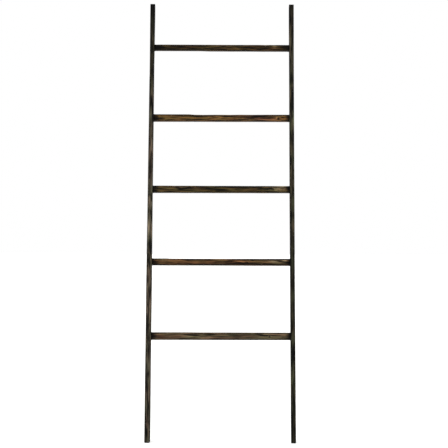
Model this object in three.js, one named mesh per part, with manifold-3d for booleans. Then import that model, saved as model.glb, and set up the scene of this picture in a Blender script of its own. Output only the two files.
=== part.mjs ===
// A ladder rack for quilts: two wooden rails leaning back against a wall, joined by five rungs that
// quilts hang over. Each rung has a stub tenon at each end, housed in a mortise in the rail's inner
// face and drawn tight by one countersunk wood screw from outside, under a flush wooden plug.
// Rubber pads keep the feet from sliding, and felt pads keep the rail tops off the wall.
//
// Millimetres, +Z up, +Y towards the wall, and left is -X, as seen from the front. The origin is on
// the floor, under the middle of the object's bounding box.

import * as THREE from "three";
import { mergeVertices } from "three/addons/utils/BufferGeometryUtils.js";
import Module from "manifold-3d";

const wasm = await Module();
wasm.setup();

// Driving dimensions.
const LEAN = THREE.MathUtils.degToRad(12); // of the rails from upright
const WIDTH = 601; // over both rails
const RAIL_LENGTH = 1829; // along the front face, from the floor to the top
const RAIL_THICK = 20; // seen from the front
const RAIL_DEPTH = 38; // front to back
const FIRST_RUNG = 429.3; // along the front face, from the floor to the lowest rung's centre
const RUNG_PITCH = 303.2;
const RUNG_HEIGHTS = [29, 26.6, 27.2, 27.8, 24.4]; // from the floor up, as the stock was planed
const RUNG_THICK = 19; // front to back

// The joints.
const GAP = 0.3; // between pieces that touch
const MORTISE_DEEP = 7;
const TENON_HIGH = 18;
const TENON_THICK = 13;
const PLUG = { radius: 4.75, deep: 4, edge: 0.4 };
const SCREW = {
  headRadius: 4,
  headHigh: 3,
  headRim: 0.4, // straight edge of the head, above its cone
  radius: 2.1, // of the shank, and over the thread
  core: 1.45, // under the thread
  length: 32,
  plain: 9, // shank under the head with no thread
  tip: 4,
  bluntness: 0.5, // of the tip's point, along the screw
  bluntRadius: 0.435,
  pitch: 3,
  ringsPerTurn: 4, // of the mesh, along the thread
  recessDeep: 1.8,
  recessLong: 4.8,
  recessWide: 0.9,
  sides: 8,
};

const HOLE_SIDES = 16; // of the plugs and the holes in the rails

// The pads and the small roundings.
const FOOT_PAD = { thick: 3, wide: 18, long: 36.8, edge: 0.7, corner: 2.5 };
const WALL_PAD = { thick: 2, wide: 17, long: 32, edge: 0.4, corner: 2.5 };
const WALL_CUT = 46; // height of the flat at each rail's top that lies along the wall
const WALL_PAD_UP = 12; // from the foot of that flat to the pad, so the pad stays inside the rail's back
const RAIL_ARRIS = 1.2;
const RAIL_CORNER = 2.5;
const RUNG_ARRIS = 2.2;

const HALF = RAIL_DEPTH / 2;
const FLOOR_AT_FRONT = -HALF * Math.tan(LEAN); // the floor, up the rail, on its front face
const RAIL_TOP = FLOOR_AT_FRONT + RAIL_LENGTH;
const INNER_FACE = WIDTH / 2 - RAIL_THICK; // from the middle to a rail's inner face
const SIDES = { left: -1, right: 1 };

const material = (color, roughness, metalness = 0) =>
  new THREE.MeshStandardMaterial({ color, roughness, metalness });
const railWood = material(0x3c392f, 0.62);
const rungWood = material(0x473b2a, 0.62);
const plugWood = material(0x353129, 0.66);
const screwSteel = material(0xa9a498, 0.35, 1);
const footRubber = material(0x191919, 0.85);
const wallFelt = material(0x2b2a28, 0.97);

// A closed three.js geometry as a manifold-3d solid.
function solid(geometry) {
  const bare = geometry.clone();
  bare.deleteAttribute("normal");
  bare.deleteAttribute("uv");
  const merged = mergeVertices(bare, 1e-4);
  return new wasm.Manifold(
    new wasm.Mesh({
      numProp: 3,
      vertProperties: merged.attributes.position.array,
      triVerts: new Uint32Array(merged.index.array),
    }),
  );
}

// A manifold-3d solid as a three.js geometry.
function geometryOf(shape) {
  const { vertProperties, triVerts } = shape.getMesh();
  const made = new THREE.BufferGeometry();
  made.setAttribute("position", new THREE.BufferAttribute(vertProperties, 3));
  made.setIndex(new THREE.BufferAttribute(triVerts, 1));
  made.computeVertexNormals();
  return made;
}

// A straight-sided outline whose corners are rounded, each by a curve that starts `radius` from it.
function roundedOutline(corners, radius) {
  const shape = new THREE.Shape();
  corners.forEach((corner, i) => {
    const before = corners.at(i - 1);
    const after = corners[(i + 1) % corners.length];
    const start = corner.clone().add(before.clone().sub(corner).setLength(radius));
    const end = corner.clone().add(after.clone().sub(corner).setLength(radius));
    if (i) shape.lineTo(start.x, start.y);
    else shape.moveTo(start.x, start.y);
    shape.quadraticCurveTo(corner.x, corner.y, end.x, end.y);
  });
  shape.closePath();
  return shape;
}

function rectangle(wide, high) {
  const x = wide / 2;
  const y = high / 2;
  return [
    new THREE.Vector2(-x, -y),
    new THREE.Vector2(x, -y),
    new THREE.Vector2(x, y),
    new THREE.Vector2(-x, y),
  ];
}

// An outline extruded to a slab centred on z = 0, with its edges rounded by `edge`.
function slab(outline, thick, edge, curveSegments = 3) {
  return new THREE.ExtrudeGeometry(outline, {
    depth: thick - 2 * edge,
    bevelEnabled: edge > 0,
    bevelThickness: edge,
    bevelSize: edge,
    bevelOffset: -edge,
    bevelSegments: 2,
    curveSegments,
  }).translate(0, 0, edge - thick / 2);
}

// Turns a slab drawn in x and y, so that its outline lies in the rack's y and z and it is thick in x.
const ACROSS = new THREE.Matrix4().makeBasis(
  new THREE.Vector3(0, 1, 0),
  new THREE.Vector3(0, 0, 1),
  new THREE.Vector3(1, 0, 0),
);

// A turned shape along x. Its profile is a list of [distance along x, radius], from end to end.
function turned(profile, sides) {
  const points = profile.map(([x, r]) => new THREE.Vector2(r, x));
  return new THREE.LatheGeometry(points, sides).rotateZ(-Math.PI / 2);
}

// How far up the rail a rung's centre is.
const rungCentre = (i) => FLOOR_AT_FRONT + FIRST_RUNG + i * RUNG_PITCH;

// Where a height above the floor crosses the rail, up the rail, at a distance behind its middle.
const upRail = (height, back) => height / Math.cos(LEAN) + back * Math.tan(LEAN);

// A rail from the side: cut level at the foot, square at the top, and upright where it meets the wall.
function railOutline() {
  const foot = FOOT_PAD.thick;
  return roundedOutline(
    [
      new THREE.Vector2(-HALF, upRail(foot, -HALF)),
      new THREE.Vector2(HALF, upRail(foot, HALF)),
      new THREE.Vector2(HALF, RAIL_TOP - WALL_CUT * Math.cos(LEAN)),
      new THREE.Vector2(HALF - WALL_CUT * Math.sin(LEAN), RAIL_TOP),
      new THREE.Vector2(-HALF, RAIL_TOP),
    ],
    RAIL_CORNER,
  );
}

// What is cut from a right-hand rail for one screw: the plug's hole, the head's seat and the shank's way.
function screwHole() {
  const outside = WIDTH / 2;
  const seat = outside - PLUG.deep;
  const neck = seat - SCREW.headHigh - GAP;
  const shank = SCREW.radius + GAP;
  const profile = [
    [INNER_FACE, 0],
    [INNER_FACE, shank],
    [neck - GAP, shank],
    [seat - GAP, SCREW.headRadius + GAP],
    [seat, SCREW.headRadius + GAP],
    [seat, PLUG.radius + GAP],
    [outside + 1, PLUG.radius + GAP],
    [outside + 1, 0],
  ];
  return solid(turned(profile, HOLE_SIDES));
}

// A right-hand rail. The left-hand one is its mirror image.
function railSolid() {
  let rail = solid(slab(railOutline(), RAIL_THICK, RAIL_ARRIS).applyMatrix4(ACROSS));
  rail = rail.translate(WIDTH / 2 - RAIL_THICK / 2, 0, 0);
  const mortise = solid(
    new THREE.BoxGeometry(
      2 * MORTISE_DEEP,
      TENON_THICK + 2 * GAP,
      TENON_HIGH + 2 * GAP,
    ),
  ).translate(INNER_FACE, 0, 0);
  const joint = mortise.add(screwHole());
  RUNG_HEIGHTS.forEach((_, i) => {
    rail = rail.subtract(joint.translate(0, 0, rungCentre(i)));
  });
  return rail;
}

// A rung: a bar with rounded arrises between the rails, a stub tenon and a pilot hole at each end.
function rungSolid(height) {
  const shoulder = INNER_FACE - GAP;
  const end = INNER_FACE + MORTISE_DEEP - GAP;
  const section = roundedOutline(rectangle(RUNG_THICK, height), RUNG_ARRIS);
  const bar = solid(slab(section, 2 * shoulder, 0).applyMatrix4(ACROSS));
  const tenons = solid(new THREE.BoxGeometry(2 * end, TENON_THICK, TENON_HIGH));
  const reach = WIDTH / 2 - PLUG.deep - GAP - SCREW.length - 1;
  const pilot = turned(
    [
      [reach, 0],
      [reach, SCREW.radius + GAP],
      [end + 1, SCREW.radius + GAP],
      [end + 1, 0],
    ],
    SCREW.sides,
  );
  const holes = solid(pilot).add(solid(pilot.clone().rotateZ(Math.PI)));
  return bar.add(tenons).subtract(holes);
}

// A ridge that climbs one pitch each turn, raised on the rings of a screw's core between two places.
function cutThread(body, start, end) {
  const { radius, core, pitch, ringsPerTurn } = SCREW;
  const slack = 0.01;
  const at = body.attributes.position;
  for (let i = 0; i < at.count; i++) {
    const x = at.getX(i);
    if (x < start - slack || x > end + slack) continue;
    const turn = Math.atan2(at.getZ(i), at.getY(i)) / (2 * Math.PI);
    const phase = THREE.MathUtils.euclideanModulo(x / pitch - turn, 1);
    const ridge = Math.max(0, 1 - Math.abs(phase - 0.5) * ringsPerTurn);
    const grown = 1 + (radius / core - 1) * ridge;
    at.setY(i, at.getY(i) * grown);
    at.setZ(i, at.getZ(i) * grown);
  }
}

// A countersunk wood screw along x, with its head at x = 0 facing +x and its tip towards -x.
function screwSolid() {
  const { headRadius, headHigh, headRim, radius, core, length, plain, tip } = SCREW;
  const { pitch, ringsPerTurn, recessDeep, recessLong, recessWide } = SCREW;
  const ringStep = pitch / ringsPerTurn;
  const threadStart = -length + tip;
  const threadEnd = -headHigh - plain;
  const rings = Math.round((threadEnd - threadStart) / ringStep);
  const profile = [
    [-length, 0],
    [-length + SCREW.bluntness, SCREW.bluntRadius],
  ];
  for (let i = 0; i <= rings; i++) profile.push([threadStart + i * ringStep, core]);
  profile.push([threadEnd + ringStep, radius]);
  profile.push([-headHigh, radius]);
  profile.push([-headRim, headRadius]);
  profile.push([0, headRadius]);
  profile.push([0, 0]);
  const body = turned(profile, SCREW.sides);
  cutThread(body, threadStart, threadEnd);
  const slot = new THREE.BoxGeometry(2 * recessDeep, recessLong, recessWide);
  const cross = solid(slot).add(solid(slot.clone().rotateX(Math.PI / 2)));
  return solid(body).subtract(cross);
}

// A plug along x, with its outer face at x = 0.
function plugGeometry() {
  const { radius, deep, edge } = PLUG;
  const profile = [
    [-deep + GAP, 0],
    [-deep + GAP, radius],
    [-edge, radius],
    [0, radius - edge],
    [0, 0],
  ];
  return turned(profile, HOLE_SIDES);
}

// A pad lying flat, centred on the origin: x across the rail and y along it.
function padGeometry({ thick, wide, long, edge, corner }) {
  return slab(roundedOutline(rectangle(wide, long), corner), thick - GAP, edge);
}

function piece(name, geometry, look) {
  const mesh = new THREE.Mesh(geometry, look);
  mesh.name = name;
  return mesh;
}

// What leans: the rails, the rungs, the screws and the plugs, along z before the group is tilted.
function leaningFrame() {
  const frame = new THREE.Group();
  const rail = railSolid();
  const screw = geometryOf(screwSolid());
  const plug = plugGeometry();
  RUNG_HEIGHTS.forEach((height, i) => {
    const rung = piece(`rung_${i + 1}`, geometryOf(rungSolid(height)), rungWood);
    rung.position.z = rungCentre(i);
    frame.add(rung);
  });
  for (const [side, sign] of Object.entries(SIDES)) {
    const shape = sign > 0 ? rail : rail.mirror([1, 0, 0]);
    frame.add(piece(`${side}_rail`, geometryOf(shape), railWood));
    RUNG_HEIGHTS.forEach((_, i) => {
      const set = new THREE.Group();
      const held = piece(`${side}_screw_${i + 1}`, screw, screwSteel);
      held.position.x = WIDTH / 2 - PLUG.deep - GAP;
      const cover = piece(`${side}_plug_${i + 1}`, plug, plugWood);
      cover.position.x = WIDTH / 2;
      set.add(held, cover);
      set.position.z = rungCentre(i);
      if (sign < 0) set.rotation.z = Math.PI;
      frame.add(set);
    });
  }
  frame.rotation.x = -LEAN;
  return frame;
}

// The pads, which stay level on the floor and upright on the wall.
function pads() {
  const group = new THREE.Group();
  const wallFlat = new THREE.Vector2(HALF, RAIL_TOP - WALL_CUT * Math.cos(LEAN));
  wallFlat.rotateAround(new THREE.Vector2(), -LEAN);
  for (const [side, sign] of Object.entries(SIDES)) {
    const x = sign * (WIDTH / 2 - RAIL_THICK / 2);
    const onFloor = piece(`${side}_foot_pad`, padGeometry(FOOT_PAD), footRubber);
    onFloor.position.set(
      x,
      FOOT_PAD.thick * Math.tan(LEAN),
      (FOOT_PAD.thick - GAP) / 2,
    );
    const onWall = piece(`${side}_wall_pad`, padGeometry(WALL_PAD), wallFelt);
    onWall.rotation.x = Math.PI / 2;
    onWall.position.set(
      x,
      wallFlat.x + (WALL_PAD.thick + GAP) / 2,
      wallFlat.y + WALL_PAD_UP + WALL_PAD.long / 2,
    );
    group.add(onFloor, onWall);
  }
  return group;
}

const rack = new THREE.Group();
rack.add(leaningFrame(), pads());
const middle = new THREE.Box3().setFromObject(rack, true).getCenter(new THREE.Vector3());
rack.children.forEach((group) => {
  group.position.y -= middle.y;
});

export default rack;
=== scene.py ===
# A ladder rack for quilts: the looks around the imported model. Metres, in the row frame: +Z up, +Y to
# the wall. The rails, rungs and plugs are remade as worn, stained wood and the pads as rubber and
# felt. The screws stay as they are, with a steel finish.

import functools
import itertools
import math

import bpy
import numpy as np
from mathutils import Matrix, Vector


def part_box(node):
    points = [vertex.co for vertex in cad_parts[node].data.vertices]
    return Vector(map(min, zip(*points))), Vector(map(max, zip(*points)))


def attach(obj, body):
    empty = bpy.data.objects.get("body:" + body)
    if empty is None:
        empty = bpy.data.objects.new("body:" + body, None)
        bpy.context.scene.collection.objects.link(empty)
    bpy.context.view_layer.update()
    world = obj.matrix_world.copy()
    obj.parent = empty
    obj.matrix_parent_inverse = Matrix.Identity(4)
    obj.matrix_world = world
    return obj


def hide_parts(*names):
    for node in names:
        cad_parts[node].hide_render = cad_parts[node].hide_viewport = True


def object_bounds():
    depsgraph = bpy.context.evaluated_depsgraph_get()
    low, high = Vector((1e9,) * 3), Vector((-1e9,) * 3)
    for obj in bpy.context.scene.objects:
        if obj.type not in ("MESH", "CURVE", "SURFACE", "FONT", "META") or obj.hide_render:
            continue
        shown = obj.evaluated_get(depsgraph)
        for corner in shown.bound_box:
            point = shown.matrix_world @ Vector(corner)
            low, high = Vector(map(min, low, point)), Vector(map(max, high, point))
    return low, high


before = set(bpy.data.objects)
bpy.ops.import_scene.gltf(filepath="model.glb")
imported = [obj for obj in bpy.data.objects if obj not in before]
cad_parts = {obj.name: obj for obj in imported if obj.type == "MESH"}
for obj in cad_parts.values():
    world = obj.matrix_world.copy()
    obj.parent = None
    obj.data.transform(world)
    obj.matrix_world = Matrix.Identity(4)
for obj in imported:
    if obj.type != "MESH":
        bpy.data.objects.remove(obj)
cad_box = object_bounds()

MM = 0.001
SIDES = {"left": -1, "right": 1}
RUNGS = range(1, 6)

# ------------------------------------------------------------------ the leaning frame
# x across the rack, y back through a rail's depth, z up along the rails, from rung_1's middle.


def centre(node):
    low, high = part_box(node)
    return (low + high) / 2


ORIGIN = centre("rung_1")
UP = (centre("rung_5") - ORIGIN).normalized()
BACK = Vector((0, UP.z, -UP.y))
AXES = np.array([(1, 0, 0), BACK, UP])


def to_row(points):
    """Places in the leaning frame, as places in the row's."""
    return points @ AXES + np.array(ORIGIN)


def leaning_box(node):
    """The lowest and highest corners of a CAD node in the leaning frame."""
    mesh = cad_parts[node].data
    points = np.array([v.co for v in mesh.vertices]) - np.array(ORIGIN)
    points = points @ AXES.T
    return points.min(0), points.max(0)


def leaning_centre(node):
    low, high = leaning_box(node)
    return (low + high) / 2


RUNG_AT = {i: leaning_centre(f"rung_{i}") for i in RUNGS}
RAIL_LOW, RAIL_HIGH = leaning_box("right_rail")
INNER, OUTER = RAIL_LOW[0], RAIL_HIGH[0]
FOOT_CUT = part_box("right_rail")[0].z

# ------------------------------------------------------------------ numbers from noise


def lattice_noise(points, seed):
    """Smooth noise from -1 to 1, one value for each point, on a lattice of unit cells."""
    size = 32
    table = np.random.default_rng(seed).uniform(-1, 1, (size, size, size))
    cell = np.floor(points).astype(int)
    part = points - cell
    part = part * part * (3 - 2 * part)
    total = np.zeros(len(points))
    for corner in itertools.product((0, 1), repeat=3):
        weight = np.where(corner, part, 1 - part).prod(axis=1)
        i, j, k = ((cell + corner) % size).T
        total += weight * table[i, j, k]
    return total


def smoothstep(low, high, value):
    """0 below low and 1 above high, or the other way about, with a smooth step between."""
    t = np.clip((value - low) / (high - low), 0, 1)
    return t * t * (3 - 2 * t)


def bell(value):
    """1 at 0, falling away on both sides."""
    return np.exp(-(value**2))


# ------------------------------------------------------------------ meshes


def spread(low, high, step, edge=()):
    """Places from low to high: the distances in edge from either end, and even steps between."""
    start, stop = low + max(edge, default=0), high - max(edge, default=0)
    count = max(1, round((stop - start) / step))
    places = [*np.linspace(start, stop, count + 1)]
    places += [low + e for e in edge] + [high - e for e in edge]
    return np.unique(np.round([low, high, *places], 6))


def block(xs, ys, zs):
    """A box's surface as one closed grid: its points, and its faces as fours of them."""
    shape = len(xs), len(ys), len(zs)
    outside = np.ones(shape, bool)
    outside[1:-1, 1:-1, 1:-1] = False
    number = np.full(shape, -1)
    number[outside] = np.arange(outside.sum())
    i, j, k = np.nonzero(outside)
    points = np.stack([xs[i], ys[j], zs[k]], axis=1)
    faces = []
    for grid, inward in (
        (number[0], True),
        (number[-1], False),
        (number[:, 0], False),
        (number[:, -1], True),
        (number[:, :, 0], True),
        (number[:, :, -1], False),
    ):
        ring = [grid[:-1, :-1], grid[1:, :-1], grid[1:, 1:], grid[:-1, 1:]]
        four = np.stack(ring, axis=-1).reshape(-1, 4)
        faces.append(four[:, ::-1] if inward else four)
    return points, np.concatenate(faces)


def rounded(points, low, high, radius):
    """The points of a box with its edges rounded, and the way out of the box at each."""
    reach = np.reshape(radius, (-1, 1))
    core = np.clip(points, low + reach, high - reach)
    out = points - core
    out /= np.linalg.norm(out, axis=1, keepdims=True)
    return core + out * reach, out


def turned(outline, sides, centre_at, sign):
    """A solid turned about x, from (distance along x, radius) pairs that start and end on the axis."""
    angles = np.arange(sides) * 2 * math.pi / sides
    inner = outline[1:-1]
    points = [
        (sign * x, r * math.cos(a), r * math.sin(a)) for x, r in inner for a in angles
    ]
    points += [(sign * outline[0][0], 0, 0), (sign * outline[-1][0], 0, 0)]
    first, last = len(points) - 2, len(points) - 1
    faces = []
    for n in range(sides):
        m = (n + 1) % sides
        faces.append((first, m, n))
        top = (len(inner) - 1) * sides
        faces.append((last, top + n, top + m))
        for row in range(len(inner) - 1):
            a, b = row * sides, (row + 1) * sides
            faces.append((a + n, a + m, b + m, b + n))
    if sign < 0:
        faces = [f[::-1] for f in faces]
    return np.array(points) + centre_at, faces


def merged(solids):
    """Several (points, faces) as one."""
    points, faces, start = [], [], 0
    for some, theirs in solids:
        points.append(some)
        faces += [tuple(int(v) + start for v in f) for f in theirs]
        start += len(some)
    return np.concatenate(points), faces


def new_object(name, points, faces):
    mesh = bpy.data.meshes.new(name)
    mesh.from_pydata(points.tolist(), [], [tuple(f) for f in np.asarray(faces, object)])
    mesh.validate()
    made = bpy.data.objects.new(name, mesh)
    bpy.context.scene.collection.objects.link(made)
    return made


def combine(piece, other, how):
    """Cuts other from piece, or joins it on, and does away with other."""
    tool = piece.modifiers.new("tool", "BOOLEAN")
    tool.object = other
    tool.operation = how
    tool.solver = "MANIFOLD"
    bpy.context.view_layer.update()
    shown = piece.evaluated_get(bpy.context.evaluated_depsgraph_get())
    done = bpy.data.meshes.new_from_object(shown)
    piece.modifiers.clear()
    old, piece.data = piece.data, done
    bpy.data.meshes.remove(old)
    bpy.data.objects.remove(other)


def points_of(piece):
    flat = np.empty(len(piece.data.vertices) * 3)
    piece.data.vertices.foreach_get("co", flat)
    return flat.reshape(-1, 3)


def normals_of(piece):
    flat = np.empty(len(piece.data.vertices) * 3)
    piece.data.vertex_normals.foreach_get("vector", flat)
    return flat.reshape(-1, 3)


def write(piece, name, values):
    """Stores a number or a vector for each point, for the materials to read."""
    kind = "FLOAT_VECTOR" if values.ndim == 2 else "FLOAT"
    made = piece.data.attributes.new(name, kind, "POINT")
    made.data.foreach_set("vector" if values.ndim == 2 else "value", values.ravel())


WOOD_CREASE = 40  # where two faces meet at more degrees than this, the edge is drawn sharp
PAD_CREASE = 50


def finish_wood(piece, node, material):
    piece.data.vertices.foreach_set("co", to_row(points_of(piece)).ravel())
    hand_over(piece, node, material, WOOD_CREASE)


def hand_over(piece, node, material, crease):
    mesh = piece.data
    mesh.update()
    mesh.shade_smooth()
    mesh.set_sharp_from_angle(angle=math.radians(crease))
    mesh.materials.clear()
    mesh.materials.append(material)
    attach(piece, "root")
    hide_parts(node)


# ------------------------------------------------------------------ wood


def blend(first, second, share):
    """A colour for each point, between two."""
    share = np.clip(share, 0, 1)[:, None]
    return first * (1 - share) + second * share


class Log:
    """Where in its log a piece was sawn: the pith's line beside it, and any knots it has.

    Grain places are (across, through, along) in metres. A knot is (along, across, through) where
    its middle meets the surface, and its radius there.
    """

    def __init__(self, seed, pith, slant, ring, knots=()):
        self.seed = seed
        self.pith = np.array(pith)
        self.slant = np.array(slant)
        self.ring = ring
        self.knots = knots

    def place(self, grain):
        """Places measured from the pith's line."""
        at = grain.copy()
        at[:, :2] -= self.pith + grain[:, 2:] * self.slant
        return at

    def knot(self, grain):
        """How far each place is from the nearest knot's middle line, in knot radii."""
        nearest = np.full(len(grain), 6.0)
        for along, across, through, radius in self.knots:
            root = np.array([*(self.pith + along * self.slant), along])
            tip = np.array([across, through, along])
            line = (tip - root) / np.linalg.norm(tip - root)
            from_root = grain - root
            out = from_root @ line
            off = np.linalg.norm(from_root - out[:, None] * line, axis=1)
            size = radius * np.clip(out / np.linalg.norm(tip - root), 0.05, None)
            nearest = np.minimum(nearest, off / size)
        return nearest

    def rings(self, grain):
        """The number of year rings between the pith and each place."""
        radius = np.linalg.norm(self.place(grain)[:, :2], axis=1)
        return (radius + 4 * MM * bell(self.knot(grain) / 1.7)) / self.ring


def relief(log, grain):
    """How deep the brushed face lies at each place: the soft wood between late rings is worn away."""
    phase = log.rings(grain) % 1
    soft = 1 - smoothstep(0.35, 0.9, phase) * (1 - smoothstep(0.93, 1, phase))
    fibre = lattice_noise(grain * (700, 700, 30) + log.seed, log.seed)
    brushed = 0.09 * MM * soft + 0.035 * MM * fibre
    return brushed * smoothstep(0.6, 1.4, log.knot(grain))


def wavy(grain, seed, height):
    """The low, long waves that a hand plane leaves."""
    broad = lattice_noise(grain * (35, 35, 9) + 7.3, seed)
    fine = lattice_noise(grain * (90, 90, 26) + 1.9, seed + 1)
    return height * (0.7 * broad + 0.3 * fine)


NICKED = 0.6  # the share of knocks that fall on an arris


def dents(grain, corners, length, seed, count):
    """Knocks and bruises: how deep each place is pressed in."""
    rng = np.random.default_rng(seed)
    depth = np.zeros(len(grain))
    for _ in range(count):
        along = rng.uniform(-length / 2, length / 2)
        across, through = corners[rng.integers(len(corners))]
        if rng.random() > NICKED:
            across *= rng.uniform(-1, 1)
        long = rng.uniform(2.5, 9) * MM
        wide = rng.uniform(1.2, 3.2) * MM
        deep = rng.uniform(0.2, 0.8) * MM
        off = np.hypot(grain[:, 0] - across, grain[:, 1] - through)
        near = bell((grain[:, 2] - along) / long) * bell(off / wide)
        depth = np.maximum(depth, deep * near)
    return depth


# Tones in stops. A piece's tone is raised by LIFT. Its arrises are darker by ARRIS_DARK, and by
# ARRIS_PATCHY more or less from place to place: painted shade along the rounded edges. A sawn end
# is raised to SAWN_TONE where it is darker, before the material darkens its end grain.
LIFT = 0.2
ARRIS_DARK = 1.3
ARRIS_PATCHY = 0.45
SAWN_TONE = -0.7


def wood_marks(piece, log, grain, along_axis, half, tone, stain, shade_and_seam, mottle=1.0):
    """Writes what the wood material reads at each point of a finished piece."""
    edge = np.abs(half - np.abs(grain[:, :2])).sum(axis=1)
    patchy = lattice_noise(grain * (60, 60, 22) + 3.1, log.seed + 9)
    arris = 1 - smoothstep(0.6 * MM, 3.2 * MM, edge)
    worn = (1 - smoothstep(0.2 * MM, 1.8 * MM, edge)) * smoothstep(0.15, 0.6, patchy)
    ends = smoothstep(0.6, 0.85, np.abs(normals_of(piece)[:, along_axis]))
    write(piece, "log_at", log.place(grain))
    write(piece, "grain_at", grain + 0.37 * log.seed)
    write(piece, "knot", log.knot(grain))
    write(piece, "worn", worn * (1 - ends))
    write(piece, "end", ends)
    # Painted shade along the arrises.
    tone = tone + LIFT - arris * (ARRIS_DARK - ARRIS_PATCHY * patchy)
    tone += ends * np.clip(SAWN_TONE - tone, 0, None)
    write(piece, "tone", tone)
    write(piece, "stain", stain)
    # This darkening is painted shade where rungs meet rails, and dark seams round the plugs.
    write(piece, "shade_and_seam", shade_and_seam)
    write(piece, "mottle", np.full(len(grain), mottle))


# ------------------------------------------------------------------ materials


class Nodes:
    """A short way to build a node tree."""

    def __init__(self, material):
        material.use_nodes = True
        self.tree = material.node_tree
        self.tree.nodes.clear()

    def add(self, kind, inputs=None, **settings):
        node = self.tree.nodes.new(kind)
        for key, value in settings.items():
            setattr(node, key, value)
        for key, value in (inputs or {}).items():
            if isinstance(value, bpy.types.NodeSocket):
                self.tree.links.new(value, node.inputs[key])
            else:
                node.inputs[key].default_value = value
        return node

    def math(self, operation, *values, clamp=False):
        inputs = dict(enumerate(values))
        return self.add("ShaderNodeMath", inputs, operation=operation, use_clamp=clamp).outputs[0]

    def total(self, values):
        return functools.reduce(lambda a, b: self.math("ADD", a, b), values)

    def weighed(self, value, weight, middle=0.5):
        """How far a value is over its middle, times a weight."""
        return self.math("MULTIPLY", self.math("SUBTRACT", value, middle), weight)

    def number(self, name):
        return self.add("ShaderNodeAttribute", attribute_name=name).outputs["Fac"]

    def scaled(self, vector, scale):
        node = self.add("ShaderNodeVectorMath", {0: vector, 1: scale}, operation="MULTIPLY")
        return node.outputs[0]

    def vector(self, name, scale=(1, 1, 1)):
        read = self.add("ShaderNodeAttribute", attribute_name=name).outputs["Vector"]
        return self.scaled(read, scale)

    def noise(self, vector, detail=3, roughness=0.55, distortion=0):
        inputs = {
            "Vector": vector,
            "Scale": 1,
            "Detail": detail,
            "Roughness": roughness,
            "Distortion": distortion,
        }
        return self.add("ShaderNodeTexNoise", inputs).outputs["Fac"]

    def remap(self, value, low, high, to_low=0.0, to_high=1.0, smooth=True):
        inputs = {
            "Value": value,
            "From Min": low,
            "From Max": high,
            "To Min": to_low,
            "To Max": to_high,
        }
        kind = "SMOOTHSTEP" if smooth else "LINEAR"
        node = self.add("ShaderNodeMapRange", inputs, interpolation_type=kind)
        return node.outputs["Result"]

    def mix(self, factor, a, b, how="MIX"):
        node = self.add("ShaderNodeMix", data_type="RGBA", blend_type=how)
        for socket, value in (
            (node.inputs[0], factor),
            (node.inputs[6], a),
            (node.inputs[7], b),
        ):
            if isinstance(value, bpy.types.NodeSocket):
                self.tree.links.new(value, socket)
            else:
                socket.default_value = value
        return node.outputs[2]

    def bump(self, height, strength, distance):
        inputs = {"Height": height, "Strength": strength, "Distance": distance}
        return self.add("ShaderNodeBump", inputs).outputs[0]

    def surface(self, inputs):
        shader = self.add("ShaderNodeBsdfPrincipled", inputs)
        output = self.add("ShaderNodeOutputMaterial")
        self.tree.links.new(shader.outputs[0], output.inputs["Surface"])


def rgb(red, green, blue):
    return red, green, blue, 1


# The wood's uneven tone counts DARKER times over where it is darker than the stain, and LIGHTER
# times over where it is lighter, so that the dark streaks are the strong ones.
DARKER = 1.9
LIGHTER = 0.45


# The scales of the wood's noises, in cells to the metre across, through and along the grain.
SCALES = {
    "wobble": (45, 45, 6),
    "fibre": (1900, 1900, 45),
    "fine": (800, 800, 14),
    "streak": (250, 250, 8),
    "fleck": (150, 150, 30),
    "blotch": (105, 105, 16),
    "cloud": (60, 60, 9),
    "flame": (150, 150, 13),
    "pore": (1300, 1300, 70),
    "line": (560, 560, 5),
    "tint": (90, 90, 14),
}

RING_WOBBLE = 0.004  # how far noise moves a year ring, in metres
KNOT_BEND = 0.004  # how far a knot bends one


def late_wood(n, knot, ring):
    """Where the dark late wood of the year rings is, from 0 to 1."""
    log_flat = n.vector("log_at", (1, 1, 0))
    wobble = n.noise(n.vector("grain_at", SCALES["wobble"]), detail=2)
    radius = n.add("ShaderNodeVectorMath", {0: log_flat}, operation="LENGTH").outputs["Value"]
    bent = n.math("MULTIPLY_ADD", wobble, RING_WOBBLE, radius)
    near = n.math("EXPONENT", n.math("MULTIPLY", n.math("POWER", knot, 2), -0.35))
    round_knot = n.math("MULTIPLY_ADD", near, KNOT_BEND, bent)
    phase = n.math("FRACT", n.math("DIVIDE", round_knot, ring))
    return n.math("MULTIPLY", n.remap(phase, 0.55, 0.94), n.remap(phase, 1, 0.95))


def wicked_along(n, fine, fibre):
    """Places in the grain, shifted along it by the fibres, so that patches have feathered ends."""
    creep = n.math("MULTIPLY_ADD", fine, 0.12, n.math("MULTIPLY", fibre, 0.05))
    shift = n.add("ShaderNodeCombineXYZ", {2: creep}).outputs[0]
    moved = {0: n.vector("grain_at"), 1: shift}
    return n.add("ShaderNodeVectorMath", moved, operation="ADD").outputs[0]


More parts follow.
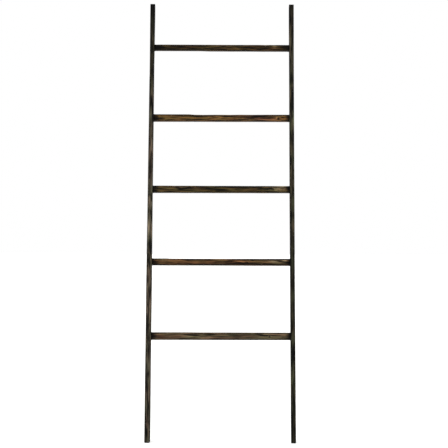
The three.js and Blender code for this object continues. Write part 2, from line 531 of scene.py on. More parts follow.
def wood_material(name, bare, ring):
    """Stained softwood: year rings about the pith, fibres, pores and knots, on worn faces, with painted
    shade where rungs meet rails and dark seams round the plugs.

    bare is the wood where the stain is rubbed through. The stain's own colour is stored on the piece.
    """
    material = bpy.data.materials.new(name)
    n = Nodes(material)
    knot = n.number("knot")
    in_knot = n.remap(knot, 1.1, 0.9)
    knot_ring = n.math("ABSOLUTE", n.math("SINE", n.math("MULTIPLY", knot, 13)))
    late = late_wood(n, knot, ring)

    fibre = n.noise(n.vector("grain_at", SCALES["fibre"]), detail=4, roughness=0.6)
    fine = n.noise(n.vector("grain_at", SCALES["fine"]), detail=3, roughness=0.6)
    streak = n.noise(n.vector("grain_at", SCALES["streak"]), detail=5, roughness=0.62)
    pores = n.noise(n.vector("grain_at", SCALES["pore"]), detail=1)
    pore = n.remap(pores, 0.66, 0.74)
    lines = n.noise(n.vector("grain_at", SCALES["line"]), detail=2, roughness=0.5)
    line = n.remap(lines, 0.56, 0.68)
    wicked = wicked_along(n, fine, fibre)
    fleck = n.noise(n.scaled(wicked, SCALES["fleck"]), detail=2)
    blotch = n.noise(n.scaled(wicked, SCALES["blotch"]), detail=2)
    cloud = n.noise(n.scaled(wicked, SCALES["cloud"]), detail=3)
    flame = n.remap(n.noise(n.scaled(wicked, SCALES["flame"]), detail=3), 0.55, 0.66)

    mottling = n.math("ADD", n.weighed(fleck, 9.0), n.weighed(blotch, 7.0))
    uneven = n.total([
        n.weighed(streak, 4.5),
        n.math("MULTIPLY", mottling, n.number("mottle")),
        n.weighed(cloud, 2.0),
        n.weighed(fibre, 2.5),
        n.weighed(fine, 4.0),
        n.math("MULTIPLY", flame, -1.4),
        n.math("MULTIPLY", late, -1.6),
        n.math("MULTIPLY", line, -1.4),
        n.math("MULTIPLY", pore, -1.3),
    ])
    darks = n.math("MULTIPLY", uneven, DARKER)
    lights = n.math("MULTIPLY", uneven, LIGHTER)
    stops = n.total([
        n.number("tone"),
        n.math("MINIMUM", darks, lights),
        # Darker by up to 3 stops: painted shade where rungs meet rails, and dark seams round the plugs.
        n.math("MULTIPLY", n.number("shade_and_seam"), -3.0),
        n.math("MULTIPLY", n.number("end"), n.math("MULTIPLY_ADD", late, -1.8, -0.6)),
        n.math("MULTIPLY", in_knot, n.math("MULTIPLY_ADD", knot_ring, 0.7, -1.7)),
    ])
    light = n.math("POWER", 2, stops)

    tint = n.noise(n.vector("grain_at", SCALES["tint"]), detail=2)
    red = n.mix(n.remap(tint, 0.3, 0.7), rgb(0.9, 1.04, 0.96), rgb(1.12, 0.96, 1.0))
    stain = n.mix(1, n.vector("stain"), red, "MULTIPLY")
    grey = n.add("ShaderNodeCombineColor", {0: light, 1: light, 2: light}).outputs[0]
    shaded = n.mix(1, stain, grey, "MULTIPLY")
    rub = n.math("MULTIPLY", n.number("worn"), n.remap(streak, 0.35, 0.6))
    colour = n.mix(n.math("MULTIPLY", rub, 0.3), shaded, bare)

    height = n.math("ADD", n.math("MULTIPLY", late, 0.5), n.math("MULTIPLY", fibre, 0.7))
    height = n.math("SUBTRACT", height, n.math("MULTIPLY", pore, 0.6))
    height = n.math("SUBTRACT", height, n.math("MULTIPLY", line, 0.4))
    rough = n.math("ADD", n.remap(fibre, 0.3, 0.7, 0.5, 0.72), n.math("MULTIPLY", pore, 0.15))
    n.surface({
        "Base Color": colour,
        "Roughness": rough,
        "Normal": n.bump(height, 0.6, 0.25 * MM),
        "Specular IOR Level": 0.06,
    })
    return material


def metal_material(name, colour, roughness):
    """Zinc-plated steel, with turning marks and dull patches."""
    material = bpy.data.materials.new(name)
    n = Nodes(material)
    place = n.add("ShaderNodeTexCoord").outputs["Object"]
    grain = n.noise(n.scaled(place, (900, 250, 250)), detail=4)
    patches = n.noise(n.scaled(place, (160, 160, 160)))
    dull = tuple(0.55 * c for c in colour[:3]) + (1,)
    n.surface({
        "Base Color": n.mix(n.remap(patches, 0.35, 0.7), colour, dull),
        "Metallic": 1.0,
        "Roughness": n.remap(grain, 0.2, 0.8, roughness - 0.08, roughness + 0.14),
        "Normal": n.bump(grain, 0.2, 0.1 * MM),
    })
    return material


def soft_material(name, dark, light, speck, depth, roughness, sheen=0.0):
    """Rubber or felt: a speckled skin, with speck as the number of specks in a metre."""
    material = bpy.data.materials.new(name)
    n = Nodes(material)
    place = n.add("ShaderNodeTexCoord").outputs["Object"]
    fine = n.noise(n.scaled(place, (speck,) * 3), detail=5, roughness=0.7, distortion=1.2)
    broad = n.noise(n.scaled(place, (speck / 12,) * 3), detail=2)
    both = n.math("ADD", n.math("MULTIPLY", fine, 0.6), n.math("MULTIPLY", broad, 0.4))
    n.surface({
        "Base Color": n.mix(n.remap(both, 0.35, 0.65), dark, light),
        "Roughness": n.remap(fine, 0.3, 0.7, roughness - 0.06, roughness + 0.04),
        "Normal": n.bump(fine, 0.7, depth),
        "Sheen Weight": sheen,
        "Specular IOR Level": 0.3,
    })
    return material


# How wide a year ring is.
RAIL_RING = 3.1 * MM
RUNG_RING = 3.6 * MM
PLUG_RING = 2.4 * MM

rail_wood = wood_material("rail_wood", rgb(0.12, 0.095, 0.065), RAIL_RING)
rung_wood = wood_material("rung_wood", rgb(0.16, 0.12, 0.07), RUNG_RING)
plug_wood = wood_material("plug_wood", rgb(0.10, 0.08, 0.055), PLUG_RING)
screw_steel = metal_material("screw_steel", rgb(0.56, 0.55, 0.52), 0.34)
foot_rubber = soft_material(
    "foot_rubber", rgb(0.010, 0.010, 0.010), rgb(0.022, 0.021, 0.020), 2600, 0.2 * MM, 0.86
)
wall_felt = soft_material(
    "wall_felt", rgb(0.006, 0.005, 0.004), rgb(0.055, 0.046, 0.036), 1900, 0.9 * MM, 0.95, 0.08
)

# ------------------------------------------------------------------ the rails

RAIL_HALF = (RAIL_HIGH - RAIL_LOW)[:2] / 2
RAIL_MIDDLE = (INNER + OUTER) / 2
FOOT_AT = (FOOT_CUT - ORIGIN.z) / UP.z
TOP_AT = RAIL_HIGH[2]
RAIL_LONG = TOP_AT - FOOT_AT
WALL_FLAT_HIGH = 46 * MM
WALL_FLAT_AT = TOP_AT - WALL_FLAT_HIGH * UP.z
RAIL_DENTS = 46
RAIL_WAVES = 0.16 * MM

# The steps between rows of points along x, y and z, and round a knot. FINE is how far the closest
# rows are from each edge, where it is rounded.
RAIL_STEPS = np.array([1.4, 1.5, 4]) * MM
RAIL_KNOT_STEP = 1.3 * MM
RUNG_STEPS = np.array([3.6, 1.4, 1.4]) * MM
RUNG_KNOT_STEP = 1.2 * MM
FINE = [0.35 * MM, 0.8 * MM, 1.4 * MM, 2.2 * MM, 3.2 * MM]

# The radius of an arris in mm, and how far noise varies it.
RAIL_ARRIS = (1.5, 0.7)
RUNG_ARRIS = (2.1, 0.9)

# A mortise's depth, and half its size front to back and up the rail.
MORTISE = np.array([7, 6.8, 9.3]) * MM

# The radii of a screw's and plug's hole, how long the screw's head is, and its clearance.
BORE = {
    "plug": 4.88 * MM,
    "clear": 0.2 * MM,
    "seat": 4.3 * MM,
    "head": 3.3 * MM,
    "shank": 2.4 * MM,
}

# The lists for the rails and rungs below were chosen to follow the wood in the photo.

# Height up the rail as a share of its length, then the rail's width there in mm.
RAIL_WIDTHS = {
    "left": [
        (0, 22.8), (0.1, 22.4), (0.25, 21.8), (0.35, 22.4), (0.43, 21.0),
        (0.6, 19.6), (0.8, 18.8), (0.86, 17.8), (0.98, 19.9), (1, 19.9),
    ],
    "right": [
        (0, 19.0), (0.2, 19.2), (0.35, 18.8), (0.46, 18.8), (0.5, 19.2), (0.85, 19.0), (1, 20.0),
    ],
}

# Both rails bow to the left: this is how far their middle is from the line between their ends.
RAIL_BOW = 0.9 * MM

# Height up the rail as a share of its length, then how much lighter the stain is there, in stops.
RAIL_TONES = {
    "left": [
        (0, -0.4), (0.1, -0.4), (0.2, -0.5), (0.24, 0.4), (0.27, -0.5), (0.3, 0.4), (0.36, -0.4),
        (0.41, 0.8), (0.435, -0.8), (0.46, 1.1), (0.5, 0.1), (0.56, 0.6), (0.59, -0.4), (0.65, 0.1),
        (0.69, -0.9), (0.78, -0.1), (0.84, -1.7), (0.91, -0.9), (0.97, -2.9), (1, -3.4),
    ],
    "right": [
        (0, -1.7), (0.05, -2.0), (0.1, -0.5), (0.15, 0.1), (0.18, -1.1), (0.25, -0.4), (0.3, -0.7),
        (0.34, 0.0), (0.37, -1.2), (0.43, -0.8), (0.5, -0.5), (0.56, 0.4), (0.6, -0.5), (0.69, 0.8),
        (0.75, 0.7), (0.82, 0.2), (0.85, -0.3), (0.91, 1.0), (0.94, -0.7), (1, -1.2),
    ],
}

# Height up the rail in the same way, then from 0 for SLATE to 1 for the rail's brown.
RAIL_HUES = {
    "left": [
        (0, 0.7), (0.1, 1), (0.34, 1), (0.4, 0.5), (0.46, 0.9), (0.72, 0.7), (0.8, 0.2), (1, 0.1),
    ],
    "right": [
        (0, 0.1), (0.3, 0.2), (0.35, 0.0), (0.7, 0.05), (0.75, 0.5), (0.82, 0.1), (0.85, 0.8),
        (0.9, 0.4), (1, 0.3),
    ],
}
SLATE = np.array([0.030, 0.0285, 0.0155])
TAUPE = np.array([0.056, 0.045, 0.031])
RAIL_BROWN = {"left": TAUPE, "right": 0.62 * TAUPE}

# A rail's tone all over in stops, and how strong the rails' mottling is.
RAIL_STAINS = {"left": 0.2, "right": -0.35}
RAIL_MOTTLE = 1.1

RAIL_LOGS = {
    "left": Log(11, (-46 * MM, 9 * MM), (0.007, -0.003), RAIL_RING, [
        (0.58, -4 * MM, -19 * MM, 4.5 * MM),
        (1.12, -9.5 * MM, 6 * MM, 6 * MM),
        (-0.18, 9.5 * MM, -3 * MM, 5 * MM),
    ]),
    "right": Log(23, (39 * MM, -21 * MM), (-0.006, 0.004), RAIL_RING, [
        (0.27, 9.5 * MM, 5 * MM, 6.5 * MM),
        (0.93, 3 * MM, 19 * MM, 5 * MM),
        (1.24, 9.5 * MM, -8 * MM, 4 * MM),
    ]),
}


def up_rail(z):
    """Height up a rail as a share of its length."""
    return (z - FOOT_AT) / RAIL_LONG


def profile(share, places):
    """A smooth line through (share, value) places."""
    at, values = np.array(places).T
    fine = np.linspace(0, 1, 400)
    line = np.interp(fine, at, values)
    soft = np.hanning(13)
    padded = np.pad(line, 6, mode="edge")
    return np.interp(share, fine, np.convolve(padded, soft / soft.sum(), mode="valid"))


def width_at(side, share):
    return profile(share, RAIL_WIDTHS[side]) * MM


def bow_at(share):
    """How far the bow puts a rail to the right, at each share of its length."""
    return RAIL_BOW * (1 - 8 * share * (1 - share)) / 2


def face_at(side, z, out):
    """How far a rail's outer face (out is 1) or inner face (-1) is from the rack's middle, at z."""
    share = up_rail(z)
    return float(RAIL_MIDDLE + out * width_at(side, share) / 2 + SIDES[side] * bow_at(share))


def rail_heights(log):
    """Heights for the rows of a rail's grid: closer together at its ends and round its knots."""
    rows = [*spread(FOOT_AT, TOP_AT, RAIL_STEPS[2], FINE), WALL_FLAT_AT]
    for along, _, _, radius in log.knots:
        rows += [*np.arange(along - 2 * radius, along + 2 * radius, RAIL_KNOT_STEP)]
    rows = np.sort(np.array(rows))
    keep = np.concatenate([[True], np.diff(rows) > 0.3 * MM])
    keep[-1] = True
    return rows[keep]


def make_rail(side):
    """A rail is made straight and upright, then brought to its widths, its cut ends and its bow."""
    sign, log = SIDES[side], RAIL_LOGS[side]
    low = np.array([-RAIL_HALF[0], -RAIL_HALF[1], FOOT_AT])
    high = np.array([RAIL_HALF[0], RAIL_HALF[1], TOP_AT])
    xs, ys = (spread(low[k], high[k], RAIL_STEPS[k], FINE) for k in (0, 1))
    points, faces = block(xs, ys, rail_heights(log))
    worn = lattice_noise(points * (40, 40, 14) + 5.7, log.seed + 4)
    arris, varies = RAIL_ARRIS
    points, out = rounded(points, low, high, (arris + varies * worn) * MM)
    grain = points.copy()

    share = up_rail(points[:, 2])
    sink = relief(log, grain) + wavy(grain, log.seed + 2, RAIL_WAVES)
    corners = [(x, y) for x in (low[0], high[0]) for y in (low[1], high[1])]
    from_middle = grain - (0, 0, (FOOT_AT + TOP_AT) / 2)
    sink += dents(from_middle, corners, RAIL_LONG, log.seed + 6, RAIL_DENTS)
    points -= out * sink[:, None]

    points[:, 0] *= width_at(side, share) / (2 * RAIL_HALF[0])
    over = np.clip(points[:, 2] - WALL_FLAT_AT, 0, None) * UP.y / UP.z
    depth = 2 * RAIL_HALF[1]
    points[:, 1] = (points[:, 1] + RAIL_HALF[1]) * (1 - over / depth) - RAIL_HALF[1]
    points[:, 2] += points[:, 1] * UP.y / UP.z * (1 - share)
    points[:, 0] += sign * RAIL_MIDDLE + bow_at(share)

    rail = new_object(f"{side}_rail_wood", points, faces)
    cut_joints(rail, side)
    mark_rail(rail, side)
    finish_wood(rail, f"{side}_rail", rail_wood)


def seat_at(side, i):
    """How far from the middle of the rack a plug's hole ends, just past the screw's head."""
    return max(abs(corner.x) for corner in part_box(f"{side}_screw_{i}")) + BORE["clear"]


def cut_joints(rail, side):
    """Mortises in the inner face, and bored holes for the screws and plugs from the outer face."""
    beyond = 3 * MM  # how far a cutting tool starts outside the wood
    sign = SIDES[side]
    mortises, bores = [], []
    for i in RUNGS:
        at = RUNG_AT[i]
        inner = face_at(side, at[2], -1)
        deep = np.array([sign * (inner + MORTISE[0]), 0, at[2]])
        mouth = np.array([sign * (inner - beyond), 0, at[2]])
        low, high = np.minimum(deep, mouth), np.maximum(deep, mouth)
        low[1:] -= MORTISE[1:]
        high[1:] += MORTISE[1:]
        mortises.append(block(*(np.array([a, b]) for a, b in zip(low, high))))
        outside = face_at(side, at[2], 1)
        seat = seat_at(side, i)
        neck = seat - BORE["head"]
        outline = [
            (inner + 2 * MM, 0),
            (inner + 2 * MM, BORE["shank"]),
            (neck, BORE["shank"]),
            (seat - 0.3 * MM, BORE["seat"]),
            (seat, BORE["seat"]),
            (seat, BORE["plug"]),
            (outside + beyond, BORE["plug"]),
            (outside + beyond, 0),
        ]
        bores.append(turned(outline, 40, (0, 0, at[2]), sign))
    combine(rail, new_object("mortises", *merged(mortises)), "DIFFERENCE")
    combine(rail, new_object("bores", *merged(bores)), "DIFFERENCE")


def mark_rail(rail, side):
    """Writes a rail's stain, its painted shade on the inner face round the rungs, and a dark seam round
    the plugs.
    """
    sign, log = SIDES[side], RAIL_LOGS[side]
    points = points_of(rail)
    share = up_rail(points[:, 2])
    grain = points.copy()
    grain[:, 0] -= sign * RAIL_MIDDLE
    tone = RAIL_STAINS[side] + profile(share, RAIL_TONES[side])
    hue = profile(share, RAIL_HUES[side]) + 0.2 * lattice_noise(grain * (10, 10, 5), log.seed + 12)
    stain = blend(SLATE, RAIL_BROWN[side], hue)
    inner_side = smoothstep(0.5, 0.9, -sign * normals_of(rail)[:, 0])
    shade_and_seam = np.zeros(len(points))
    for i in RUNGS:
        low, high = leaning_box(f"rung_{i}")
        off_z = np.clip(np.abs(points[:, 2] - RUNG_AT[i][2]) - (high[2] - low[2]) / 2, 0, None)
        off_y = np.clip(np.abs(points[:, 1]) - (high[1] - low[1]) / 2, 0, None)
        # Painted shade on the rail's inner face, round the corner where each rung goes in.
        shade_and_seam = np.maximum(shade_and_seam, inner_side * bell(np.hypot(off_z, off_y) / (3.5 * MM)))
        # A dark seam round each plug, on the outer face.
        off = np.hypot(points[:, 1], points[:, 2] - RUNG_AT[i][2])
        ring = bell((off - BORE["plug"]) / (0.7 * MM)) * (1 - inner_side)
        shade_and_seam = np.maximum(shade_and_seam, 0.5 * ring)
    wood_marks(rail, log, grain, 2, RAIL_HALF, tone, stain, 0.6 * shade_and_seam, RAIL_MOTTLE)


# ------------------------------------------------------------------ the rungs

# A tenon's length, and half its size front to back and up the rail.
TENON = np.array([6.7, 6.5, 9]) * MM
SHOULDER_GAP = 0.15 * MM
SHOULDER_RADIUS = 0.5 * MM
PILOT_DEEP = 37 * MM  # from the rail's outer face to where a screw's hole draws to its point
RUNG_DENTS = 16
RUNG_WAVES = 0.22 * MM

UMBER = np.array([0.077, 0.042, 0.012])
ASH = np.array([0.066, 0.049, 0.027])
OLIVE = np.array([0.058, 0.039, 0.0125])
RUST = np.array([0.078, 0.038, 0.019])
LICHEN = np.array([0.072, 0.061, 0.034])

# Each rung's stain: its colour, its accent, and its tone in stops. Then its patches: each one's
# middle along the rung in mm and up its face from -1 to 1, its reach along in mm and up the face,
# how many stops lighter it is, and how much of the accent it has. The dark patches at the rung's
# very ends, by the rails, are painted shade; the others are stain.
RUNG_STAINS_AND_SHADE = {
    1: (ASH, RUST, -0.05, [
        (-72, 0, 40, 1, 2.1, 0.1),
        (-200, 0.2, 70, 1, -0.1, 0.3),
        (100, 0.3, 60, 0.7, -0.3, 0.2),
        (119, 0.8, 40, 0.4, -0.3, 0),
        (35, 0.5, 35, 0.35, -1.0, 0),
        (240, -0.8, 40, 0.4, -0.6, 0),
        (0, -0.85, 600, 0.3, -0.3, 0),
        (-120, -0.12, 170, 0.12, 0.6, 0),
        (-240, 0, 16, 1, 0.2, 0.6),
        (190, 0, 60, 1, 0.9, 0),
        # Painted shade at the rung's ends, by the rails: this patch and the one at 276 mm.
        (-272, 0, 10, 2, -1.4, 0),
        (253, 0, 16, 1, 1.0, 0),
        (276, 0, 7, 2, -1.2, 0),
    ]),
    2: (0.5 * (UMBER + RUST), LICHEN, -0.15, [
        (100, 0.1, 70, 0.8, 1.3, 0),
        (-85, 0, 40, 1, -0.4, 0),
        (260, 0.1, 12, 0.8, 1.1, 0.6),
        (-238, 0.8, 30, 0.5, 0.6, 0.5),
        (0, -0.85, 600, 0.38, -1.2, 0),
        (20, -0.55, 90, 0.35, -1.2, 0.3),
        (235, -0.6, 50, 0.35, -1.6, 0.2),
        (222, 0.3, 36, 0.6, 0.9, 1.0),
        # Painted shade at the rung's ends, by the rails: this patch and the next.
        (-274, -0.3, 10, 1, -1.5, 0),
        (276, 0, 8, 2, -1.3, 0),
    ]),
    3: (OLIVE, ASH, -0.5, [
        (-225, 0, 25, 1, -0.7, 0),
        (75, -0.1, 60, 0.7, -0.6, 0),
        (187, 0, 16, 1, 0.9, 0.3),
        (40, 0.7, 90, 0.4, -2.2, 0),
        (230, 0.3, 28, 1.2, 1.7, 1.0),
        (136, -0.8, 60, 0.4, 0.6, 0),
        (-165, 0.5, 40, 0.35, 1.1, 0.6),
        (-87, -0.2, 22, 0.6, -1.0, 0),
        (257, 0.45, 14, 0.5, 2.1, 0.8),
        # Painted shade at the rung's ends, by the rails: this patch and the next.
        (-272, 0, 11, 2, -2.0, 0),
        (276, 0, 8, 2, -1.4, 0),
    ]),
    4: (UMBER, RUST, 0.0, [
        (153, 0.6, 60, 0.3, -2.6, 0.8),
        (165, -0.2, 60, 0.7, 0.1, 0.9),
        (98, -0.2, 34, 0.7, 1.4, 0.2),
        (-140, 0.5, 45, 0.3, -1.8, 0),
        (-258, 0, 8, 0.5, 1.6, 0),
        (222, 0, 12, 0.5, 1.6, 0.2),
        (0, -0.85, 600, 0.3, 0.2, 0.3),
        # Painted shade at the rung's ends, by the rails: this patch and the next.
        (-272, -0.3, 12, 1, -2.2, 0),
        (276, 0, 8, 2, -1.6, 0),
    ]),
    5: (0.9 * UMBER, ASH, -1.15, [
        (-17, 0, 60, 1, 0.4, 0.2),
        (-190, -0.1, 50, 1, -0.8, 0),
        (-215, -0.5, 60, 0.4, -2.2, 0),
        (187, 0.5, 20, 0.4, 1.1, 0.4),
        (90, -0.1, 22, 0.4, -1.0, 0),
        (170, 0, 40, 0.5, -1.2, 0),
        (221, 0, 14, 0.8, 1.2, 0.6),
        (0, 0.9, 600, 0.3, 0.5, 0.4),
        (-120, -0.8, 60, 0.4, 0.5, 0.3),
        # Painted shade at the rung's ends, by the rails: this patch and the next.
        (-266, 0, 17, 2, -2.4, 0),
        (268, -0.2, 15, 1.5, -1.8, 0),
    ]),
}

# How strong each rung's mottling is.
RUNG_MOTTLES = {1: 0.3, 2: 0.9, 3: 1.4, 4: 0.9, 5: 1.3}

RUNG_LOGS = {
    1: Log(31, (5 * MM, -34 * MM), (0.012, 0.016), RUNG_RING, [(0.197, 1 * MM, -9.5 * MM, 3 * MM)]),
    2: Log(37, (-8 * MM, 41 * MM), (-0.010, 0.012), RUNG_RING, [(-0.06, 13 * MM, 2 * MM, 4 * MM)]),
    3: Log(41, (12 * MM, -27 * MM), (0.015, -0.010), RUNG_RING, [(-0.135, 4 * MM, -9.5 * MM, 3 * MM)]),
    4: Log(43, (-3 * MM, 30 * MM), (0.018, 0.008), RUNG_RING, [(0.235, -2 * MM, -9.5 * MM, 4 * MM)]),
    5: Log(47, (9 * MM, -38 * MM), (-0.014, 0.010), RUNG_RING, [(0.162, -5 * MM, -9.5 * MM, 2.5 * MM)]),
}

# Where a rung's top follows the outside of the tree: places along the rung in mm, then how much
# lower it is there, in mm.
WANE = {
    2: [(-290, 0), (-225, 0), (-200, 0.9), (40, 0.9), (120, 0.5), (190, 0.1), (290, 0)],
    4: [
        (-290, 0), (-135, 0.1), (-112, 1.7), (-75, 1.9), (-17, 1.3), (35, 1.8), (85, 1.0),
        (160, 0.8), (215, 0.4), (290, 0.3),
    ],
}

# Where its underside is higher, in the same way.
HOLLOW = {5: [(-290, 1.1), (-85, 1.0), (-55, 0), (290, 0)]}

# How much deeper a rung is at its right end than at its left, in mm, all of it at its underside.
TAPER = {1: -1.0, 2: 0.2, 3: -0.6, 4: -0.8, 5: 0.3}


def make_rung(i):
    """A rung is made along x about its own middle, and its grain runs along x."""
    log = RUNG_LOGS[i]
    low, high = leaning_box(f"rung_{i}")
    half = (high - low)[1:] / 2
    left = -face_at("left", RUNG_AT[i][2], -1) + SHOULDER_GAP
    right = face_at("right", RUNG_AT[i][2], -1) - SHOULDER_GAP
    low = np.array([left, -half[0], -half[1]])
    high = np.array([right, half[0], half[1]])
    points, faces = rung_grid(log, low, high)
    worn = lattice_noise(points * (16, 45, 45) + 8.1, log.seed + 4)
    arris, varies = RUNG_ARRIS
    radius = (arris + varies * worn) * MM
    ends = smoothstep(3 * MM, 6 * MM, np.minimum(points[:, 0] - left, right - points[:, 0]))
    radius = SHOULDER_RADIUS + (radius - SHOULDER_RADIUS) * ends
    points, out = rounded(points, low, high, radius)
    grain = points[:, [2, 1, 0]]
    sink = relief(log, grain) + wavy(grain, log.seed + 2, RUNG_WAVES)
    corners = [(z, y) for z in (low[2], high[2]) for y in (low[1], high[1])]
    sink += dents(grain, corners, right - left, log.seed + 6, RUNG_DENTS)
    top = smoothstep(-0.2, 1, points[:, 2] / half[1])
    under = smoothstep(0.2, -1, points[:, 2] / half[1])
    points[:, 2] -= along_rung(points, WANE.get(i)) * top
    points[:, 2] += along_rung(points, HOLLOW.get(i)) * under
    points -= out * (sink * ends)[:, None]
    lower = smoothstep(1, -1, points[:, 2] / half[1])
    points[:, 2] -= TAPER[i] * MM * points[:, 0] / (right - left) * lower

    rung = new_object(f"rung_{i}_wood", points, faces)
    join_rung(rung, left, right)
    mark_rung(rung, i, half, left, right)
    placed = points_of(rung) + (0, 0, RUNG_AT[i][2])
    rung.data.vertices.foreach_set("co", placed.ravel())
    finish_wood(rung, f"rung_{i}", rung_wood)


def rung_grid(log, low, high):
    """A rung's surface as a grid, with closer rows at its edges and round its knots."""
    xs, ys, zs = (spread(low[k], high[k], RUNG_STEPS[k], FINE) for k in range(3))
    rows = [*xs]
    for at, _, _, radius in log.knots:
        rows += [*np.arange(at - 2 * radius, at + 2 * radius, RUNG_KNOT_STEP)]
    return block(np.unique(np.round(rows, 5)), ys, zs)


def along_rung(points, places):
    """The height at each point of a line through (place along the rung, height) pairs in mm.

    It is in metres, and 0 where there are no pairs.
    """
    along, heights = np.array(places or [(0, 0)]).T
    return np.interp(points[:, 0] / MM, along, heights) * MM


def join_rung(rung, left, right):
    """Tenons on a rung's ends, with holes in them for the screws."""
    reach = np.array([right + TENON[0], *TENON[1:]])
    start = np.array([left - TENON[0], *-TENON[1:]])
    tenons = block(*(np.array([a, b]) for a, b in zip(start, reach)))
    combine(rung, new_object("tenons", *tenons), "UNION")
    tip = OUTER - PILOT_DEEP
    mouth = max(right, -left) + TENON[0] + 2 * MM
    outline = [(tip - 1 * MM, 0), (tip, BORE["shank"]), (mouth, BORE["shank"]), (mouth, 0)]
    pilots = [turned(outline, 24, (0, 0, 0), sign) for sign in SIDES.values()]
    combine(rung, new_object("pilots", *merged(pilots)), "DIFFERENCE")


def mark_rung(rung, i, half, left, right):
    """Writes a rung's stain and its patches, fainter off its front, and painted shade at its ends by
    the rails.
    """
    log = RUNG_LOGS[i]
    points = points_of(rung)
    grain = points[:, [2, 1, 0]]
    colour, accent, base, patches = RUNG_STAINS_AND_SHADE[i]
    sway = 0.25 * lattice_noise(points * (22, 22, 22), log.seed + 13)
    up_face = points[:, 2] / half[1]
    tone = np.zeros(len(points))
    hue = 0.15 * lattice_noise(grain * (12, 12, 7), log.seed + 12)
    # The patches are stain, save the dark ones at the rung's ends, which are painted shade.
    for at, up, long, high, stops, share in patches:
        near = bell((points[:, 0] - at * MM) / (long * MM)) * bell((up_face + sway - up) / high)
        tone += stops * near
        hue += share * near
    front = smoothstep(0.2, 0.8, -normals_of(rung)[:, 1])
    tone = base + tone * (0.4 + 0.6 * front)
    stain = blend(colour, accent, hue)
    from_end = np.minimum(points[:, 0] - left, right - points[:, 0])
    from_end = np.clip(from_end, 0, None)
    # Painted shade at the rung's ends, where they meet the rails.
    shade_and_seam = 0.6 * bell(from_end / (4 * MM)) + 0.35 * bell(from_end / (12 * MM))
    wood_marks(rung, log, grain, 0, half[::-1], tone, stain, shade_and_seam, RUNG_MOTTLES[i])


# ------------------------------------------------------------------ the plugs

PLUG_RADIUS = 4.75 * MM
PLUG_BEVEL = 0.3 * MM
PLUG_CROWN = 0.12 * MM  # how high its middle is, and how far its rim is rounded
PLUG_DARKER = 0.2  # in stops, beside the rail round it


def make_plug(side, i):
    """A plug, sanded flush and a little crowned, with its grain along the rail's."""
    sign, seed = SIDES[side], 60 + 7 * i + 31 * (side == "left")
    rng = np.random.default_rng(seed)
    proud = rng.uniform(0.02, 0.2) * MM
    face = face_at(side, RUNG_AT[i][2], 1) + proud
    foot = seat_at(side, i) + BORE["clear"]
    outline = [
        (foot, 0),
        (foot, PLUG_RADIUS - PLUG_BEVEL),
        (foot + PLUG_BEVEL, PLUG_RADIUS),
        (face - 1.4 * MM, PLUG_RADIUS),
        (face - 0.45 * MM, PLUG_RADIUS),
        (face - PLUG_CROWN, PLUG_RADIUS - PLUG_CROWN),
    ]
    for part in (0.93, 0.82, 0.68, 0.52, 0.35, 0.18):
        outline.append((face + PLUG_CROWN * (1 - part**2), PLUG_RADIUS * part))
    outline.append((face + PLUG_CROWN, 0))
    points, faces = turned(outline, 40, (0, 0, RUNG_AT[i][2]), sign)
    plug = new_object(f"{side}_plug_{i}_wood", points, faces)
    log = Log(seed, rng.uniform(-14, 14, 2) * MM, (0, 0), PLUG_RING)
    grain = points_of(plug) - (sign * RAIL_MIDDLE, 0, RUNG_AT[i][2])
    grain = grain[:, [1, 0, 2]]
    off = np.hypot(grain[:, 0], grain[:, 2])
    rim = smoothstep(PLUG_RADIUS - 0.8 * MM, PLUG_RADIUS, off)
    share = up_rail(RUNG_AT[i][2])
    rail_tone = RAIL_STAINS[side] + float(profile(share, RAIL_TONES[side]))
    tone = np.full(len(grain), rail_tone - PLUG_DARKER)
    stain = blend(SLATE, TAUPE, np.full(len(grain), 0.5))
    wood_marks(plug, log, grain, 2, np.array([1, 1]), tone, stain, 0.5 * rim)
    finish_wood(plug, f"{side}_plug_{i}", plug_wood)


# ------------------------------------------------------------------ the pads

PAD_STEP = 0.8 * MM  # between rows of points, with closer ones near the edges
PAD_FINE = [0.15 * MM, 0.35 * MM, 0.6 * MM]
PAD_CORNER = 2.5 * MM
PAD_EDGE = 0.35 * MM  # how far its faces fall away at their rim
PAD_GROOVE = 0.18 * MM  # how far its sides are hollowed


def make_pad(node, slot, material, thin, soft, seed):
    """A pad in its CAD node's box, thin along one axis, with sides that are uneven by soft."""
    low, high = (np.array(corner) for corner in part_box(node))
    places = [spread(a, b, PAD_STEP, PAD_FINE) for a, b in zip(low, high)]
    points, faces = block(*places)
    flat = [axis for axis in range(3) if axis != thin]
    core = np.clip(points[:, flat], low[flat] + PAD_CORNER, high[flat] - PAD_CORNER)
    off = points[:, flat] - core
    length = np.linalg.norm(off, axis=1)
    square = np.abs(off).max(axis=1)
    scale = np.where(length > 0, square / np.maximum(length, 1e-9), 1)
    points[:, flat] = core + off * scale[:, None]
    middle = (low + high) / 2
    depth = np.abs(points[:, thin] - middle[thin]) / (high - low)[thin] * 2
    inside = np.minimum(PAD_CORNER, np.clip(PAD_CORNER - square, 0, None))
    edge = bell(inside / (0.5 * MM)) * depth**4
    points[:, thin] -= np.sign(points[:, thin] - middle[thin]) * edge * PAD_EDGE
    groove = PAD_GROOVE * (1 - depth**2) * (inside < 0.01 * MM)
    way = off / np.maximum(length, 1e-9)[:, None]
    points[:, flat] -= way * (groove + soft * lattice_noise(points * 1500, seed))[:, None]
    made = new_object(f"{node}_{slot.split('_')[1]}", points, faces)
    hand_over(made, node, material, PAD_CREASE)


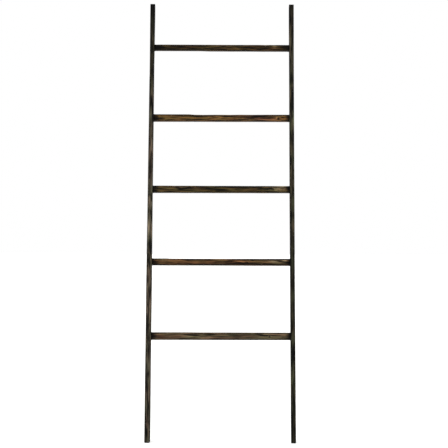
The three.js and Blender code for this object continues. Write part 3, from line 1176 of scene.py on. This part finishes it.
for rail_side in SIDES:
    make_rail(rail_side)
for rung_number in RUNGS:
    make_rung(rung_number)
for plug_side, plug_number in itertools.product(SIDES, RUNGS):
    make_plug(plug_side, plug_number)
for pad_side in SIDES:
    make_pad(f"{pad_side}_foot_pad", "foot_rubber", foot_rubber, 2, 0.02 * MM, 71)
    make_pad(f"{pad_side}_wall_pad", "wall_felt", wall_felt, 1, 0.08 * MM, 73)
for screw_side, screw_number in itertools.product(SIDES, RUNGS):
    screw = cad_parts[f"{screw_side}_screw_{screw_number}"]
    screw.data.materials.clear()
    screw.data.materials.append(screw_steel)

# ------------------------------------------------------------------ the floor, light and camera

FLOOR_REACH = 40
FLOOR_AT = -0.4 * MM  # just clear of the foot pads


def make_floor():
    corners = [(-1, -1), (1, -1), (1, 1), (-1, 1)]
    points = np.array([(x * FLOOR_REACH, y * FLOOR_REACH, FLOOR_AT) for x, y in corners])
    floor = new_object("floor", points, [(0, 1, 2, 3)])
    material = bpy.data.materials.new("pale_floor")
    n = Nodes(material)
    n.surface({
        "Base Color": rgb(0.8, 0.8, 0.79),
        "Roughness": 0.9,
        "Specular IOR Level": 0.1,
        "Emission Color": rgb(1, 1, 1),
        "Emission Strength": 0.2,
    })
    floor.data.materials.append(material)


def make_world():
    """White to the eye, and softer as a light."""
    world = bpy.data.worlds.new("studio")
    world.use_nodes = True
    bpy.context.scene.world = world
    tree = world.node_tree
    tree.nodes.clear()
    seen = tree.nodes.new("ShaderNodeBackground")
    lit = tree.nodes.new("ShaderNodeBackground")
    seen.inputs["Color"].default_value = rgb(1, 1, 1)
    lit.inputs["Color"].default_value = rgb(1, 1, 1)
    lit.inputs["Strength"].default_value = 0.5
    path = tree.nodes.new("ShaderNodeLightPath")
    mix = tree.nodes.new("ShaderNodeMixShader")
    output = tree.nodes.new("ShaderNodeOutputWorld")
    tree.links.new(path.outputs["Is Camera Ray"], mix.inputs[0])
    tree.links.new(lit.outputs[0], mix.inputs[1])
    tree.links.new(seen.outputs[0], mix.inputs[2])
    tree.links.new(mix.outputs[0], output.inputs["Surface"])


def sun(name, azimuth, elevation, strength, width):
    """A light from far away, this wide in degrees: azimuth 0 is from the front, 90 from the right."""
    light = bpy.data.lights.new(name, "SUN")
    light.energy = strength
    light.angle = math.radians(width)
    made = bpy.data.objects.new(name, light)
    made.rotation_euler = (math.radians(90 - elevation), 0, math.radians(azimuth))
    bpy.context.scene.collection.objects.link(made)


# How far the camera is to the right of the rack's middle, in front of its box and above the
# floor, all in metres, and its roll in degrees.
CAMERA_RIGHT = 0.0118
CAMERA_BACK = 6.46115
CAMERA_UP = 0.8677
CAMERA_ROLL = -0.205


def make_camera():
    """Level, in front of the rack and far back, and rolled a fifth of a degree."""
    data = bpy.data.cameras.new("camera")
    data.sensor_width = 36
    data.lens = 131.15
    camera = bpy.data.objects.new("camera", data)
    camera.location = (CAMERA_RIGHT, cad_box[0].y - CAMERA_BACK, CAMERA_UP)
    camera.rotation_euler = (math.radians(90), math.radians(CAMERA_ROLL), 0)
    bpy.context.scene.collection.objects.link(camera)
    bpy.context.scene.camera = camera


make_floor()
make_world()
sun("key", -35, 50, 2.2, 50)
sun("fill", 70, 28, 1.2, 60)
sun("back", 165, 35, 1.3, 60)
make_camera()
bpy.context.scene.view_settings.view_transform = "Standard"
